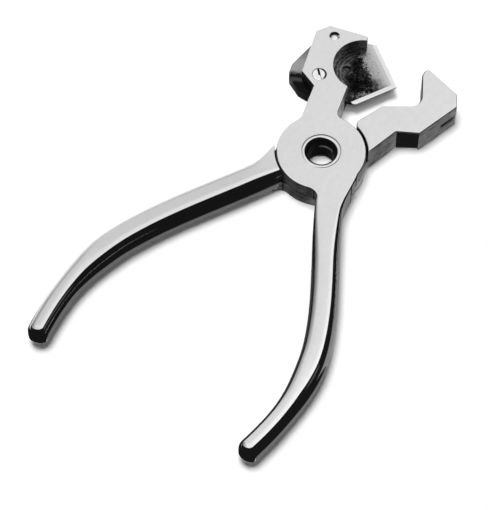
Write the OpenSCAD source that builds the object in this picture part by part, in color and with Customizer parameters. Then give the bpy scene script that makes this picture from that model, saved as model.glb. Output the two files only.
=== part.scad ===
// Plier-type tube cutter: two forged halves lapped on a hollow rivet.
// The blade half carries a clamped blade, the anvil half a vee seat with a slot for the blade.
// Each half is drawn upright, jaw towards +Y, and then turned to its place in the open tool.

/* [Body] */
// Thickness of both halves at the jaws and handles
thick = 11.4; // [10:0.2:14]
// Angle between the two halves in the open tool, degrees
open_angle = 42; // [36:1:50]
// Diameter of the lapped discs at the pivot
disc_d = 32; // [30:0.5:34]
// Gap between the two lapped disc faces
lap_gap = 0.1; // [0.05:0.01:0.3]
// Radial gap between a disc and the shoulders of the other half
shoulder_gap = 0.7; // [0.5:0.1:1.2]

/* [Pivot] */
// Bore of the hollow rivet
rivet_bore_d = 10; // [8:0.2:10.6]
// Outside diameter of the rivet's barrel
rivet_barrel_d = 11.8; // [11.4:0.1:12.4]
// Outside diameter of the rivet's flared rims
rivet_rim_d = 14.2; // [13.6:0.1:15.4]
// Mouth diameter of the bore at each rim
rivet_mouth_d = 11.8; // [11:0.1:12.6]
// Running clearance round the rivet, radial
rivet_clearance = 0.05; // [0.02:0.01:0.1]

/* [Jaws] */
// Outer flank of the neck, measured from the half's centreline
neck_outer = 8.6; // [8.2:0.1:9.2]
// Inner flank of the neck, measured from the half's centreline
neck_inner = 3.1; // [2.8:0.1:3.4]
// Height at which the neck widens into the jaw
shoulder_y = 26.8; // [26.2:0.1:27.4]
// Outer corner of the jaws, sideways
back_x = 14.1; // [13.4:0.1:14.6]
// Outer corner of the blade jaw, height
blade_back_y = 32; // [31.4:0.1:32.6]
// Outer corner of the anvil jaw, height
anvil_back_y = 33.3; // [32.6:0.1:34]
// Crown corner of the jaw, sideways
crown_x = 12.8; // [12:0.1:13.4]
// Crown corner of the jaw, height
crown_y = 51; // [50.4:0.1:51.6]
// Top corner of the jaw, sideways
top_x = 8.3; // [7.6:0.1:9]
// Top corner of the jaw, height
top_y = 54.5; // [54:0.1:55]
// Reach of the tip past the half's centreline
tip_x = 6.4; // [5.8:0.1:6.8]
// Height of the tip's upper corner
tip_y = 52.8; // [52.4:0.1:53.2]
// Blunt height of the tip
tip_blunt = 2; // [1.4:0.1:2.4]
// Corner radius of the jaw outlines
jaw_corner_r = 0.8; // [0.3:0.1:1.2]
// Corner radius of the tips
tip_r = 1.1; // [0.3:0.1:1.6]

/* [Tube mouth] */
// Radius of the round recess in the blade jaw
recess_r = 11.1; // [10.8:0.1:11.4]
// Centre of the recess, sideways
recess_x = 7.2; // [6.9:0.1:7.5]
// Centre of the recess, height
recess_y = 39.8; // [39.5:0.1:40.1]
// Vertex of the anvil's vee seat, sideways
seat_x = 5; // [4.4:0.1:5.6]
// Vertex of the anvil's vee seat, height
seat_y = 40.9; // [40:0.1:41.8]
// Radius at the bottom of the vee seat
seat_r = 4.2; // [3:0.1:5]
// Slope of the seat's upper flank, degrees
seat_upper_angle = 38.3; // [36:0.1:41]
// Slope of the seat's lower flank, degrees
seat_lower_angle = 54.5; // [52:0.5:57]

/* [Blade] */
// Thickness of the blade
blade_t = 1; // [0.6:0.1:1.2]
// Width of the ground bevel along the cutting edges
blade_bevel = 1.6; // [0.8:0.1:2.4]
// Thickness left at the cutting edges
blade_land = 0.5; // [0.1:0.1:0.7]
// Width of the slot that takes the blade in the anvil jaw
slot_w = 1.6; // [1.4:0.1:2.4]
// Radius of the cutter that makes the slot
slot_r = 25; // [24.5:0.1:25.2]
// Centre of the slot cutter, sideways
slot_x = -11.6; // [-11.8:0.1:-11.2]
// Centre of the slot cutter, height
slot_y = 45.2; // [44.6:0.1:45.8]
// Diameter of the hole through the middle of the blade
blade_hole_d = 2.6; // [2:0.1:3.2]

/* [Clamp] */
// How far the clamp block stands out behind the jaw
block_bulge = 5.4; // [4:0.1:6]
// Play round the blade, screw and pin in the clamp
clamp_play = 0.05; // [0.02:0.01:0.1]
// Head diameter of the clamp screw
screw_head_d = 5.3; // [4.8:0.1:5.8]
// Shank diameter of the clamp screw
screw_d = 3; // [2.6:0.1:3.4]
// Width of the screwdriver slot
screw_slot_w = 0.8; // [0.6:0.1:1]
// Turn of the screwdriver slot, degrees
screw_slot_turn = 67; // [0:1:180]
// Diameter of the locating pin
pin_d = 2.6; // [2.2:0.1:3]
// Depth of the pin's end below the jaw's face
pin_recess = 0.7; // [0.3:0.1:1]
// Mouth diameter of the pin's countersunk hole
pin_mouth_d = 3.9; // [3.6:0.1:4.4]

/* [Handles] */
// Width of the handles at the belly
handle_w = 9.8; // [9:0.1:11]
// Width of the handles at the end
handle_end_w = 7.5; // [6.6:0.1:8.6]
// Thickness of the handles at the end
handle_end_t = 9.6; // [8:0.1:11]
// Edge radius of the handles at the belly
handle_edge_r = 4; // [3:0.1:4.4]
// Distance of the handles' waist from the pivot
waist_y = 24; // [23:0.5:26]
// Distance of the handles' belly from the pivot
belly_y = 76; // [70:0.5:80]
// Bow of the blade half's handle at the waist
blade_waist_x = 7.6; // [7:0.1:8]
// Bow of the blade half's handle at the belly
blade_belly_x = 14.8; // [12:0.1:16]
// Bow of the blade half's handle at its end
blade_end_x = 0.9; // [-2:0.1:3]
// Length of the blade half's handle, pivot to end centre
blade_end_y = 117.8; // [112:0.1:124]
// Bow of the anvil half's handle at the waist
anvil_waist_x = 6.5; // [6:0.1:7.4]
// Bow of the anvil half's handle at the belly
anvil_belly_x = 12.7; // [11:0.1:15]
// Bow of the anvil half's handle at its end
anvil_end_x = -1.4; // [-3:0.1:2]
// Length of the anvil half's handle, pivot to end centre
anvil_end_y = 120.3; // [112:0.1:124]

/* [Hidden] */
$fn = 96;

// Levels, measured from the lap plane between the two discs
face_z = thick / 2;
lap_z = lap_gap / 2;
past = 1;

// Pivot
disc_r = disc_d / 2;
relief_r = disc_r + shoulder_gap;
bore_r = rivet_bore_d / 2;
barrel_r = rivet_barrel_d / 2;
rim_r = rivet_rim_d / 2;
mouth_r = rivet_mouth_d / 2;

// Neck, where it meets the disc
inner_fillet_r = 2.6;
outer_fillet_r = 5;
neck_spread = 1.3;
root_overlap = 0.5;
neck_root_x = neck_outer + neck_spread;
neck_root_y = fillet_y(neck_root_x + outer_fillet_r, outer_fillet_r) + root_overlap;
shoulder_corner_r = 2.4;

// Lip between the anvil's seat and its tip
seat_lip = 0.9;

// Steps along the polygon arcs and along the handles
corner_steps = 6;
section_steps = 5;
path_steps = 38;
cap_steps = 5;

// Handle stretches: the root lies inside the disc, and the taper runs to the end
root_y = 3;
root_out = 0.6;
root_w = 13.8;
root_slope = -0.06;
waist_slope = 0.14;
end_slope = -0.62;
root_edge_r = 0.7;
edge_flat = 0.2;
edge_start_y = 3;
edge_full_y = 26;
taper_lead = 6;
taper_run = 24;
taper_start_y = belly_y + taper_lead;

// Bow of each handle at the waist, the belly and the end, and its length
blade_handle = [blade_waist_x, blade_belly_x, blade_end_x, blade_end_y];
anvil_handle = [anvil_waist_x, anvil_belly_x, anvil_end_x, anvil_end_y];

// Clamp stack on the blade jaw
pocket_drop = 0.8;
pocket_y = shoulder_y - pocket_drop;
seat_z = blade_t / 2 + clamp_play;
screw_at = [7.6, 32.3];
pin_at = [5.7, 50.1];
blade_hole_at = [-0.9, 40.2];
screw_land = 0.3;
screw_slot_depth = 0.7;
blind_wall = 1;
block_ledge = 0.5;
block_ledge_h = 1.6;

// Corners of the clamp block's bulge: how far in from its outermost reach, and how far up the jaw
block_root = [8.9, 0.2];
block_foot = [5, 1.8];
block_low = [0.6, 1.4];
block_out = [0, 3.6];
block_high = [0.3, 7.3];
block_crown = [6, -0.7];
block_corners = [
    [block_root.x, shoulder_y + block_root.y],
    [block_foot.x, shoulder_y + block_foot.y],
    [block_low.x, blade_back_y + block_low.y],
    [block_out.x, blade_back_y + block_out.y],
    [block_high.x, blade_back_y + block_high.y],
    [block_crown.x, crown_y + block_crown.y]];

// Blade outline, with its sharp corner towards the anvil
blade_corner = [-20.4, 36.7];
lower_edge = 17;
lower_edge_angle = 39.5;
upper_edge = 19.9;
upper_edge_angle = 57;
blade_inset = 1.2;
blade_top_rise = 0.3;

// Height of the centre of a fillet of radius r beside the disc, from its sideways place
function fillet_y(x, r) = sqrt(pow(disc_r + r, 2) - x * x);

// Helpers
function unit(v) = v / norm(v);
function mix(a, b, t) = a + (b - a) * t;
function smooth(t) = let(c = max(0, min(1, t))) c * c * (3 - 2 * c);
function hermite(a, b, ma, mb, t) =
    a * (1 + 2 * t) * pow(1 - t, 2) + ma * t * pow(1 - t, 2)
    + b * t * t * (3 - 2 * t) + mb * t * t * (t - 1);
function short_turn(a) = a > 180 ? a - 360 : a < -180 ? a + 360 : a;

// Arc that rounds the corner b of the path a, b, c
function corner_arc(a, b, c, r) =
    let(u = unit(a - b), v = unit(c - b), half = acos(u * v) / 2,
        m = b + unit(u + v) * r / sin(half),
        s = b + u * r / tan(half) - m, e = b + v * r / tan(half) - m,
        start = atan2(s.y, s.x), turn = short_turn(atan2(e.y, e.x) - start))
    [for (i = [0 : corner_steps])
        let(angle = start + turn * i / corner_steps) m + r * [cos(angle), sin(angle)]];

// Outline from corners given as x, y and corner radius
function rounded(p) =
    let(n = len(p))
    [for (i = [0 : n - 1])
        let(a = p[(i + n - 1) % n], b = p[i], c = p[(i + 1) % n])
        each b[2] > 0 ? corner_arc([a.x, a.y], [b.x, b.y], [c.x, c.y], b[2]) : [[b.x, b.y]]];

// Back and top of a jaw, from the height of its outer corner
function jaw_back(back_y) = [
    [neck_root_x, 0, 0],
    [neck_root_x, neck_root_y, 0],
    [neck_outer, shoulder_y, jaw_corner_r],
    [back_x, back_y, jaw_corner_r],
    [crown_x, crown_y, jaw_corner_r],
    [top_x, top_y, jaw_corner_r],
    [-tip_x, tip_y, tip_r]];

// Round recess for the tube through the blade jaw and its clamp block
module recess() {
    translate([-recess_x, recess_y, 0]) cylinder(r = recess_r, h = 2 * thick, center = true);
}

module blade_jaw_outline() {
    polygon(rounded(concat(jaw_back(blade_back_y), [
        [-tip_x, recess_y, 0],
        [-neck_inner, recess_y, 0],
        [-neck_inner, 0, 0]])));
}

module anvil_jaw_outline() {
    polygon(rounded(concat(jaw_back(anvil_back_y), [
        [-tip_x, tip_y - tip_blunt, 0],
        [seat_lip - tip_x, seat_y + (seat_x + tip_x - seat_lip) * tan(seat_upper_angle), 0],
        [seat_x, seat_y, seat_r],
        [-neck_inner, seat_y - (seat_x + neck_inner) * tan(seat_lower_angle), jaw_corner_r],
        [-neck_inner, 0, 0]])));
}

// Hollow corner between the disc and a straight neck flank at x; side is the way out of the neck
module disc_fillet(x, r, side) {
    c = [x + side * r, fillet_y(x + side * r, r)];
    difference() {
        polygon([[0, 0], [x, c.y], c]);
        translate(c) circle(r = r);
    }
}

// Waste at the corner where the inner flank meets the relief round the other disc
module shoulder_corner_waste() {
    c = [shoulder_corner_r - neck_inner,
         sqrt(pow(relief_r + shoulder_corner_r, 2) - pow(shoulder_corner_r - neck_inner, 2))];
    difference() {
        polygon([[-neck_inner - past, c.y], c, [0, 0], [-neck_inner - past, 0]]);
        translate(c) circle(r = shoulder_corner_r);
    }
}

// Sideways bow of handle h at the distance d from the pivot, in three stretches
function bow(h, d) =
    d < waist_y
        ? let(l = waist_y - root_y)
            hermite(h[0] + root_out, h[0], root_slope * l, waist_slope * l, (d - root_y) / l)
    : d < belly_y
        ? let(l = belly_y - waist_y)
            hermite(h[0], h[1], waist_slope * l, 0, (d - waist_y) / l)
    : let(l = h[3] - belly_y)
        hermite(h[1], h[2], 0, end_slope * l, (d - belly_y) / l);

// Way along the handle, and half its width, half its thickness and its edge radius
function along(h, d) = let(e = 0.01) unit([bow(h, d - e) - bow(h, d + e), -2 * e]);
function taper(d) = smooth((d - taper_start_y) / taper_run);
function half_w(d) =
    d < waist_y ? mix(root_w, handle_w, smooth((d - root_y) / (waist_y - root_y))) / 2
    : mix(handle_w, handle_end_w, taper(d)) / 2;
function half_t(d) = mix(thick, handle_end_t, taper(d)) / 2;
function edge_r(d) =
    min(mix(root_edge_r, handle_edge_r, smooth((d - edge_start_y) / (edge_full_y - edge_start_y))),
        half_w(d) - edge_flat);

// One cross-section: a rounded rectangle, shrunk by k and moved on by s along the handle
function section(h, d, k, s) =
    let(w = half_w(d) * k, t = half_t(d) * k, r = edge_r(d) * k,
        way = along(h, d), c = [-bow(h, d), -d] + way * s, across = [-way.y, way.x])
    [for (q = [0 : 3]) for (i = [0 : section_steps])
        let(a = 90 * (q + i / section_steps),
            u = (q == 0 || q == 3 ? w - r : r - w) + r * cos(a),
            v = (q < 2 ? t - r : r - t) + r * sin(a))
        [c.x + across.x * u, c.y + across.y * u, v]];

module handle(h) {
    end_y = h[3];
    body_rings = [for (i = [0 : path_steps]) section(h, mix(root_y, end_y, i / path_steps), 1, 0)];
    cap_rings = [for (i = [1 : cap_steps - 1])
        let(a = 90 * i / cap_steps) section(h, end_y, cos(a), half_w(end_y) * sin(a))];
    rings = concat(body_rings, cap_rings);
    n = len(rings[0]);
    last = len(rings) - 1;
    end_point = [-bow(h, end_y), -end_y] + along(h, end_y) * half_w(end_y);
    points = concat([for (ring = rings) each ring], [[end_point.x, end_point.y, 0]]);
    sides = [for (j = [0 : last - 1]) for (i = [0 : n - 1])
        let(a = j * n + i, b = j * n + (i + 1) % n)
        each [[a, b + n, b], [a, a + n, b + n]]];
    end_fan = [for (i = [0 : n - 1]) [last * n + (i + 1) % n, last * n + i, (last + 1) * n]];
    polyhedron(points, concat([[for (i = [0 : n - 1]) i]], sides, end_fan));
}

// A forged half with its disc in the upper layer; the child is its jaw outline
module forged_half(h) {
    translate([0, 0, lap_z]) linear_extrude(face_z - lap_z) {
        circle(r = disc_r);
        disc_fillet(-neck_inner, inner_fillet_r, -1);
        disc_fillet(neck_root_x, outer_fillet_r, 1);
        children();
    }
    translate([0, 0, -face_z]) linear_extrude(face_z + lap_z + past) difference() {
        children();
        circle(r = relief_r);
        shoulder_corner_waste();
    }
    difference() {
        handle(h);
        translate([0, 0, lap_z - thick]) cylinder(r = relief_r, h = thick);
    }
}

// Bore and countersinks that take the rivet
module rivet_hole() {
    r = barrel_r + rivet_clearance;
    cylinder(r = r, h = 2 * thick, center = true);
    for (side = [0, 1]) mirror([0, 0, side])
        translate([0, 0, face_z - (rim_r - barrel_r)])
            cylinder(r1 = r, r2 = rim_r + rivet_clearance, h = rim_r - barrel_r);
}

// Countersunk clamp screw, and the same form with play round it and past the face as a hole
module screw_form(gap = 0, over = 0) {
    head_r = screw_head_d / 2 + gap;
    r = screw_d / 2 + gap;
    translate(screw_at) rotate_extrude() polygon([
        [0, blind_wall - face_z], [r, blind_wall - face_z], [r, face_z - screw_land - head_r + r],
        [head_r, face_z - screw_land], [head_r, face_z + over], [0, face_z + over]]);
}

module screw_hole() {
    screw_form(clamp_play, past);
}

module pin_hole() {
    r = pin_d / 2 + clamp_play;
    translate(pin_at) rotate_extrude() polygon([
        [0, blind_wall - face_z], [r, blind_wall - face_z], [r, face_z - pin_recess],
        [pin_mouth_d / 2, face_z], [pin_mouth_d / 2, face_z + past], [0, face_z + past]]);
}

module blade_half() {
    color("silver") rotate(open_angle / 2) mirror([1, 0, 0]) difference() {
        forged_half(blade_handle) blade_jaw_outline();
        recess();
        rivet_hole();
        translate([-2 * disc_d, pocket_y, -thick]) cube([4 * disc_d, 2 * top_y, thick + seat_z]);
        screw_hole();
        pin_hole();
    }
}

module anvil_half() {
    color("gainsboro") rotate(-open_angle / 2) difference() {
        mirror([0, 0, 1]) forged_half(anvil_handle) anvil_jaw_outline();
        rivet_hole();
        translate([slot_x, slot_y, -slot_w / 2]) cylinder(r = slot_r, h = slot_w);
    }
}

module pivot_rivet() {
    flare = rim_r - barrel_r;
    mouth = mouth_r - bore_r;
    color("lightgrey") rotate_extrude() polygon([
        [bore_r, mouth - face_z], [mouth_r, -face_z], [rim_r, -face_z], [barrel_r, flare - face_z],
        [barrel_r, face_z - flare], [rim_r, face_z], [mouth_r, face_z], [bore_r, face_z - mouth]]);
}

// Wedge that grinds both faces down to the cutting edge, along +X from the corner
module edge_grind(length) {
    for (side = [0, 1]) mirror([0, 0, side])
        rotate([90, 0, 90]) translate([0, 0, -past]) linear_extrude(length + 2 * past) polygon([
            [-past, blade_land / 2], [0, blade_land / 2], [blade_bevel, blade_t / 2],
            [blade_bevel, blade_t], [-past, blade_t]]);
}

module cutting_blade() {
    lower_end = blade_corner + lower_edge * [cos(lower_edge_angle), -sin(lower_edge_angle)];
    upper_end = blade_corner + upper_edge * [cos(upper_edge_angle), sin(upper_edge_angle)];
    color("dimgray") rotate(open_angle / 2) mirror([1, 0, 0]) difference() {
        translate([0, 0, -blade_t / 2]) linear_extrude(blade_t) polygon([
            blade_corner,
            upper_end,
            [-tip_x - blade_inset, tip_y + blade_top_rise],
            [top_x - blade_inset, top_y - blade_inset],
            [crown_x - blade_inset, crown_y - blade_inset],
            [back_x - blade_inset, blade_back_y + blade_inset],
            [neck_outer - blade_inset, shoulder_y + blade_inset],
            [-neck_inner, pocket_y + clamp_play],
            lower_end]);
        screw_hole();
        pin_hole();
        translate([blade_hole_at.x, blade_hole_at.y, -blade_t])
            cylinder(d = blade_hole_d, h = 2 * blade_t);
        translate(blade_corner) rotate(-lower_edge_angle) edge_grind(lower_edge);
        translate(blade_corner) mirror([0, 1, 0]) rotate(-upper_edge_angle) edge_grind(upper_edge);
    }
}

// Clamp block outline, with its bulge set in by the ledge
module block_outline(ledge) {
    reach = back_x + block_bulge - ledge;
    difference() {
        union() {
            blade_jaw_outline();
            polygon(concat([[0, crown_y / 2], [0, pocket_y], [neck_outer, pocket_y]],
                           [for (c = block_corners) [reach - c.x, c.y]]));
        }
        translate([-2 * disc_d, pocket_y + clamp_play - 2 * top_y]) square([4 * disc_d, 2 * top_y]);
    }
}

module clamp_block() {
    color([0.12, 0.12, 0.13]) rotate(open_angle / 2) mirror([1, 0, 0]) difference() {
        union() {
            translate([0, 0, -face_z]) linear_extrude(face_z - seat_z) block_outline(block_ledge);
            translate([0, 0, -face_z]) linear_extrude(face_z - seat_z - block_ledge_h) block_outline(0);
        }
        recess();
        screw_hole();
        pin_hole();
    }
}

module clamp_screw() {
    color("white") rotate(open_angle / 2) mirror([1, 0, 0]) difference() {
        screw_form();
        translate([screw_at.x, screw_at.y, face_z - screw_slot_depth]) rotate(screw_slot_turn)
            translate([-screw_head_d, -screw_slot_w / 2, 0])
                cube([2 * screw_head_d, screw_slot_w, past + screw_slot_depth]);
    }
}

module locating_pin() {
    color("white") rotate(open_angle / 2) mirror([1, 0, 0])
        translate([pin_at.x, pin_at.y, blind_wall - face_z])
            cylinder(d = pin_d, h = thick - blind_wall - pin_recess);
}

blade_half();
anvil_half();
pivot_rivet();
cutting_blade();
clamp_block();
clamp_screw();
locating_pin();
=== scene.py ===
"""Looks of a plier-type tube cutter: chromed forged halves, a dark blade and its black clamp."""
import math

import bmesh
import bpy
from mathutils import Matrix, Vector


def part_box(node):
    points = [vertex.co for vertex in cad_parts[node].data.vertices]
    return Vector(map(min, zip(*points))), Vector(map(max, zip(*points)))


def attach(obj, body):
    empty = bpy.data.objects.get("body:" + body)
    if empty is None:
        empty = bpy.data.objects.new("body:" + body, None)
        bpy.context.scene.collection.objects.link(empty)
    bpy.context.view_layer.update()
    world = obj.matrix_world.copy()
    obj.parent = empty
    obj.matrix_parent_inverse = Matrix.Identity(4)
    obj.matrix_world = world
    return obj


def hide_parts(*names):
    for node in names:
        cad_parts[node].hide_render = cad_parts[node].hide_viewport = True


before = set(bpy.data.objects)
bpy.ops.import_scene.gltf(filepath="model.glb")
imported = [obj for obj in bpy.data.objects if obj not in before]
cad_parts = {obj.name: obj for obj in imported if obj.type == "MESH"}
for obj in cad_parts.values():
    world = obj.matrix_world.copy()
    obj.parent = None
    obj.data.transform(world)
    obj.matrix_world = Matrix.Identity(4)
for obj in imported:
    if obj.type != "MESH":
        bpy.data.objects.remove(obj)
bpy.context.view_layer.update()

# Sizes in millimetres. Each half is drawn upright, with its jaw towards +Y, its mouth on the left
# and its disc in the upper layer, and is then turned to its place in the open tool.
MM = 0.001
HALF_ANGLE = 21.0
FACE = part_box("pivot_rivet")[1].z / MM
THICK = 2 * FACE
PAST = 1.0

DISC_R = 16.0
RELIEF_R = 16.7
LAP = 0.05
RIM_R = 0.55
LAP_EDGE = 0.15
SHOULDER_TOP = -12.2
UPRIGHT = 0.2
PAINTED_SHADE_RIM_Y = -8
CUT_EDGE = 0.12

NECK_INNER = -3.1
BLADE_NECK_INNER = -2.4
NECK_OUTER = 8.6
NECK_ROOT = 9.9
INNER_FILLET_R = 2.6
OUTER_FILLET_R = 5.0
SHOULDER_R = 2.4
SHOULDER_Y = 26.8
POCKET_Y = 26.0
JAW_CORNER_R = 0.8
BLADE_BACK_Y = 32.0
ANVIL_BACK_Y = 33.3
BACK_X = 14.1
CROWN_AT = (12.8, 51.0)
TOP_AT = (8.3, 54.5)
TIP_X = -6.4
TIP_Y = 52.8
TIP_R = 1.1
BLADE_MOUTH_X = -4.7

RECESS_AT = (-7.2, 39.8)
RECESS_R = 11.1
SEAT = [(TIP_X, 50.8, 0), (-5.5, 49.19, 0), (5.0, 40.9, 4.2), (NECK_INNER, 29.54, JAW_CORNER_R)]
SEAT_Z = 0.55
SLOT_AT = (-11.6, 45.2)
SLOT_R = 25.0
SLOT_W = 1.6

BORE_R = 5.0
BARREL_R = 5.9
RIVET_RIM_R = 7.1
MOUTH_R = 5.9
RIVET_PLAY = 0.05

SCREW_AT = (7.6, 32.3)
SCREW_HEAD_R = 2.65
SCREW_R = 1.5
SCREW_LAND = 0.3
SCREW_SLOT_W = 0.8
SCREW_SLOT_DEPTH = 0.7
SCREW_SLOT_TURN = 67.0
PIN_AT = (5.7, 50.1)
PIN_R = 1.3
PIN_RECESS = 0.7
PIN_MOUTH_R = 1.95
PLAY = 0.05

BULGE = [(0.6, 22), (10.6, 27), (14.5, 28.6), (18.9, 33.4), (19.5, 35.6), (19.2, 39.3),
         (13.5, 50.3)]
BULGE_EDGE_R = 1.3
BLADE_HOLE = (0.9, 40.2)

# Handles: the bow at the waist, the belly and the end, the length, and the stretch over which
# the edge radius grows
BLADE_HANDLE = (7.6, 14.8, 0.9, 117.8, 10, 45)
ANVIL_HANDLE = (6.5, 12.7, -1.4, 120.3, 3, 26)
ROOT_Y = 3.0
ROOT_OUT = 0.6
ROOT_W = 13.8
ROOT_EDGE_R = 0.7
WAIST_Y = 24.0
BELLY_Y = 76.0
HANDLE_W = 9.8
HANDLE_END_W = 7.5
HANDLE_END_T = 9.6
HANDLE_EDGE_R = 4.0
EDGE_FLAT = 0.2
SLOPES = (-0.06, 0.14, -0.62)
TAPER_Y = (BELLY_Y + 6.0, BELLY_Y + 30.0)

# Where a handle meets its disc: how far in it starts, how far it stays under the disc's face, and
# the hollow corner on its inner side
GRIP_REACH = 12.0
SINK = 0.03
CROTCH_R = 4.0
BLADE_CROTCH_X = -2.6
ANVIL_CROTCH_X = -1.4
CROTCH_END_X = -3.5
UNDER_HANDLE = 240


# Outlines in the drawing plane

def arc(centre, r, start, end, steps):
    """Points along an arc between two angles in degrees."""
    angles = [math.radians(start + (end - start) * i / steps) for i in range(steps + 1)]
    return [(centre[0] + r * math.cos(a), centre[1] + r * math.sin(a)) for a in angles]


def rounded(corners, steps=6):
    """Points of an open path through corners given as x, y and radius; its ends stay sharp."""
    points = [corners[0][:2]]
    for before, here, after in zip(corners, corners[1:], corners[2:]):
        b = Vector(here[:2])
        u = (Vector(before[:2]) - b).normalized()
        v = (Vector(after[:2]) - b).normalized()
        r = here[2]
        half = u.angle(v) / 2
        centre = b + (u + v).normalized() * r / math.sin(half)
        s = b + u * r / math.tan(half) - centre
        e = b + v * r / math.tan(half) - centre
        if r == 0:
            points.append(tuple(b))
            continue
        start = math.degrees(math.atan2(s.y, s.x))
        turn = math.degrees(math.atan2(e.y, e.x)) - start
        turn = (turn + 180) % 360 - 180
        points += arc(centre, r, start, start + turn, steps)
    points.append(corners[-1][:2])
    return points


def fillet_centre(x, r):
    """Centre of a fillet of radius r beside the disc, at the sideways place x."""
    return (x, math.sqrt((DISC_R + r) ** 2 - x ** 2))


def bearing(point):
    return math.degrees(math.atan2(point[1], point[0]))


def jaw_back(back_y):
    """Corners of a jaw's back and top, from the height of its outer corner."""
    return [(NECK_OUTER, SHOULDER_Y, JAW_CORNER_R), (BACK_X, back_y, JAW_CORNER_R),
            (*CROWN_AT, JAW_CORNER_R), (*TOP_AT, JAW_CORNER_R), (TIP_X, TIP_Y, TIP_R)]


def upper_outline(back, mouth, foot, crotch):
    """The disc's layer: disc, neck and jaw, and the hollow corner beside the handle at crotch."""
    outer = fillet_centre(NECK_ROOT + OUTER_FILLET_R, OUTER_FILLET_R)
    inner = fillet_centre(foot - INNER_FILLET_R, INNER_FILLET_R)
    x, y = fillet_centre(crotch + CROTCH_R, CROTCH_R)
    hollow = arc((x, -y), CROTCH_R, 180, bearing((x, -y)) + 180, 12)
    disc = (arc((0, 0), DISC_R, bearing(inner), UNDER_HANDLE, 70)
            + [(DISC_R * math.cos(math.radians(UNDER_HANDLE)), -y)] + hollow[:-1]
            + arc((0, 0), DISC_R, bearing(hollow[-1]) + 360, bearing(outer) + 360, 80))
    outer_fillet = arc(outer, OUTER_FILLET_R, bearing(outer) + 180, 180, 10)
    inner_fillet = arc(inner, INNER_FILLET_R, 0, bearing(inner) - 180, 8)
    jaw = rounded([outer_fillet[-1] + (0,)] + back + mouth + [inner_fillet[0] + (0,)])
    return disc[:-1] + outer_fillet + jaw[1:-1] + inner_fillet[:-1]


def lower_outline(back, mouth, foot):
    """The full-height part of neck and jaw, hollowed round the other half's disc."""
    corner = (foot + SHOULDER_R,
              math.sqrt((RELIEF_R + SHOULDER_R) ** 2 - (foot + SHOULDER_R) ** 2))
    relief_end = math.degrees(math.acos(NECK_ROOT / RELIEF_R))
    relief = arc((0, 0), RELIEF_R, bearing(corner), relief_end, 30)
    shoulder = arc(corner, SHOULDER_R, 180, bearing(corner) + 180, 10)
    root_y = fillet_centre(NECK_ROOT + OUTER_FILLET_R, OUTER_FILLET_R)[1]
    jaw = rounded([relief[-1] + (0,), (NECK_ROOT, root_y, 0)] + back + mouth
                  + [shoulder[0] + (0,)])
    return jaw[:-1] + shoulder + relief[1:-1]


# Solids

def new_object(name, bm):
    """A mesh object from a bmesh, with its faces turned outwards."""
    bmesh.ops.recalc_face_normals(bm, faces=bm.faces)
    mesh = bpy.data.meshes.new(name)
    bm.to_mesh(mesh)
    bm.free()
    obj = bpy.data.objects.new(name, mesh)
    bpy.context.scene.collection.objects.link(obj)
    return obj


def round_edges(bm, edges, width, segments=4):
    bmesh.ops.bevel(bm, geom=edges, offset=width, segments=segments, profile=0.5,
                    affect="EDGES", clamp_overlap=False, material=-1)


def plate(points, low, high):
    """An outline drawn up from one level to another."""
    bm = bmesh.new()
    face = bm.faces.new([bm.verts.new((x, y, low)) for x, y in points])
    top = bmesh.ops.extrude_face_region(bm, geom=[face])["geom"]
    moved = [g for g in top if isinstance(g, bmesh.types.BMVert)]
    bmesh.ops.translate(bm, verts=moved, vec=(0, 0, high - low))
    bmesh.ops.recalc_face_normals(bm, faces=bm.faces)
    return bm


def edges_at(bm, level, within=None):
    """Edges that lie at one level, and within a radius of the pivot where one is given."""
    found = [e for e in bm.edges if all(abs(v.co.z - level) < 1e-4 for v in e.verts)]
    if within is None:
        return found
    return [e for e in found if all(v.co.xy.length < within for v in e.verts)]


def turned(profile, at=(0, 0), steps=72):
    """A closed profile of radius and height, spun round an upright axis."""
    bm = bmesh.new()
    verts = [bm.verts.new((r, 0, z)) for r, z in profile]
    edges = [bm.edges.new(pair) for pair in zip(verts, verts[1:] + verts[:1])]
    bmesh.ops.spin(bm, geom=verts + edges, cent=(0, 0, 0), axis=(0, 0, 1), angle=math.tau,
                   steps=steps, use_merge=True, use_duplicate=False)
    bmesh.ops.remove_doubles(bm, verts=bm.verts, dist=1e-4)
    bmesh.ops.dissolve_degenerate(bm, edges=bm.edges, dist=1e-5)
    bmesh.ops.translate(bm, verts=bm.verts, vec=(at[0], at[1], 0))
    return bm


def block(low, high):
    """A plain box between two corners."""
    bm = bmesh.new()
    bmesh.ops.create_cube(bm, size=1)
    size = Vector(high) - Vector(low)
    bmesh.ops.scale(bm, verts=bm.verts, vec=size)
    bmesh.ops.translate(bm, verts=bm.verts, vec=(Vector(low) + Vector(high)) / 2)
    return bm


def boolean(target, tool, operation):
    """Joins or cuts the target with a tool, which is used up."""
    modifier = target.modifiers.new("boolean", "BOOLEAN")
    modifier.operation = operation
    modifier.solver = "EXACT"
    modifier.object = tool
    graph = bpy.context.evaluated_depsgraph_get()
    mesh = bpy.data.meshes.new_from_object(target.evaluated_get(graph))
    target.modifiers.clear()
    target.data = mesh
    bpy.data.objects.remove(tool)


def cut(target, bm):
    boolean(target, new_object("cutter", bm), "DIFFERENCE")


# Handles

def smooth(t):
    t = max(0.0, min(1.0, t))
    return t * t * (3 - 2 * t)


def mix(a, b, t):
    return a + (b - a) * t


def hermite(a, b, slope_a, slope_b, t, length):
    return (a * (1 + 2 * t) * (1 - t) ** 2 + slope_a * length * t * (1 - t) ** 2
            + b * t * t * (3 - 2 * t) + slope_b * length * t * t * (t - 1))


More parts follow.
